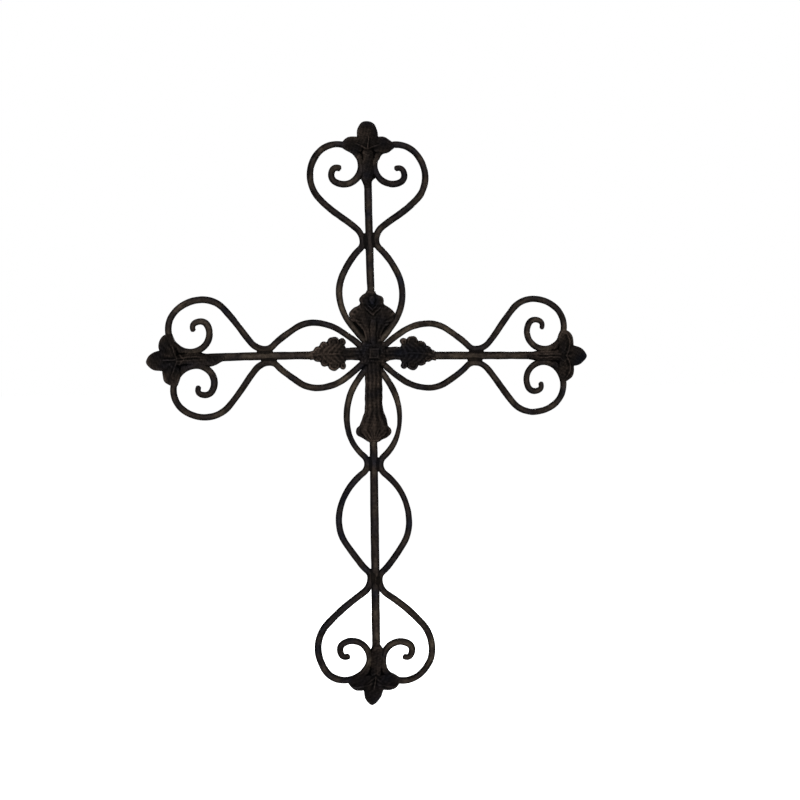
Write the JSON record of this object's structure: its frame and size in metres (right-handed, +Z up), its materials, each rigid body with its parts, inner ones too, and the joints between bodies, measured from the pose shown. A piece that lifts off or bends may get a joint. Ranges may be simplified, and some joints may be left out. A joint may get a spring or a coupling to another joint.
{
  "type": "wrought iron wall cross",
  "caption": "Wrought iron wall cross with scrolled heart-ended arms, leaf finials and a small budded cross over the middle; hangs flat on a wall.",
  "frame": {"origin": "mouth of the hanging hole in the back of the top finial, on the middle plane of the bars and rods", "axes": "+Z up along the upright bar, +Y from the front towards the wall, +X to the right seen from the front"},
  "size_m": [0.461, 0.0134, 0.61],
  "materials": {
    "bars": "forged, dark brown-black patina, satin",
    "scrolls": "forged, dark brown-black patina, satin",
    "finials": "cast, blue-black patina, satin",
    "ornament": "cast, brown-black patina, satin"
  },
  "bodies": {
    "root": {"upright_bar": "bars", "cross_bar": "bars", "scroll_top_left": "scrolls", "scroll_top_right": "scrolls", "scroll_left_upper": "scrolls", "scroll_left_lower": "scrolls", "scroll_right_upper": "scrolls", "scroll_right_lower": "scrolls", "scroll_foot_left": "scrolls", "scroll_foot_right": "scrolls", "finial_top": "finials", "finial_left": "finials", "finial_right": "finials", "finial_foot": "finials", "centre_ornament": "ornament"}
  },
  "joints": []
}
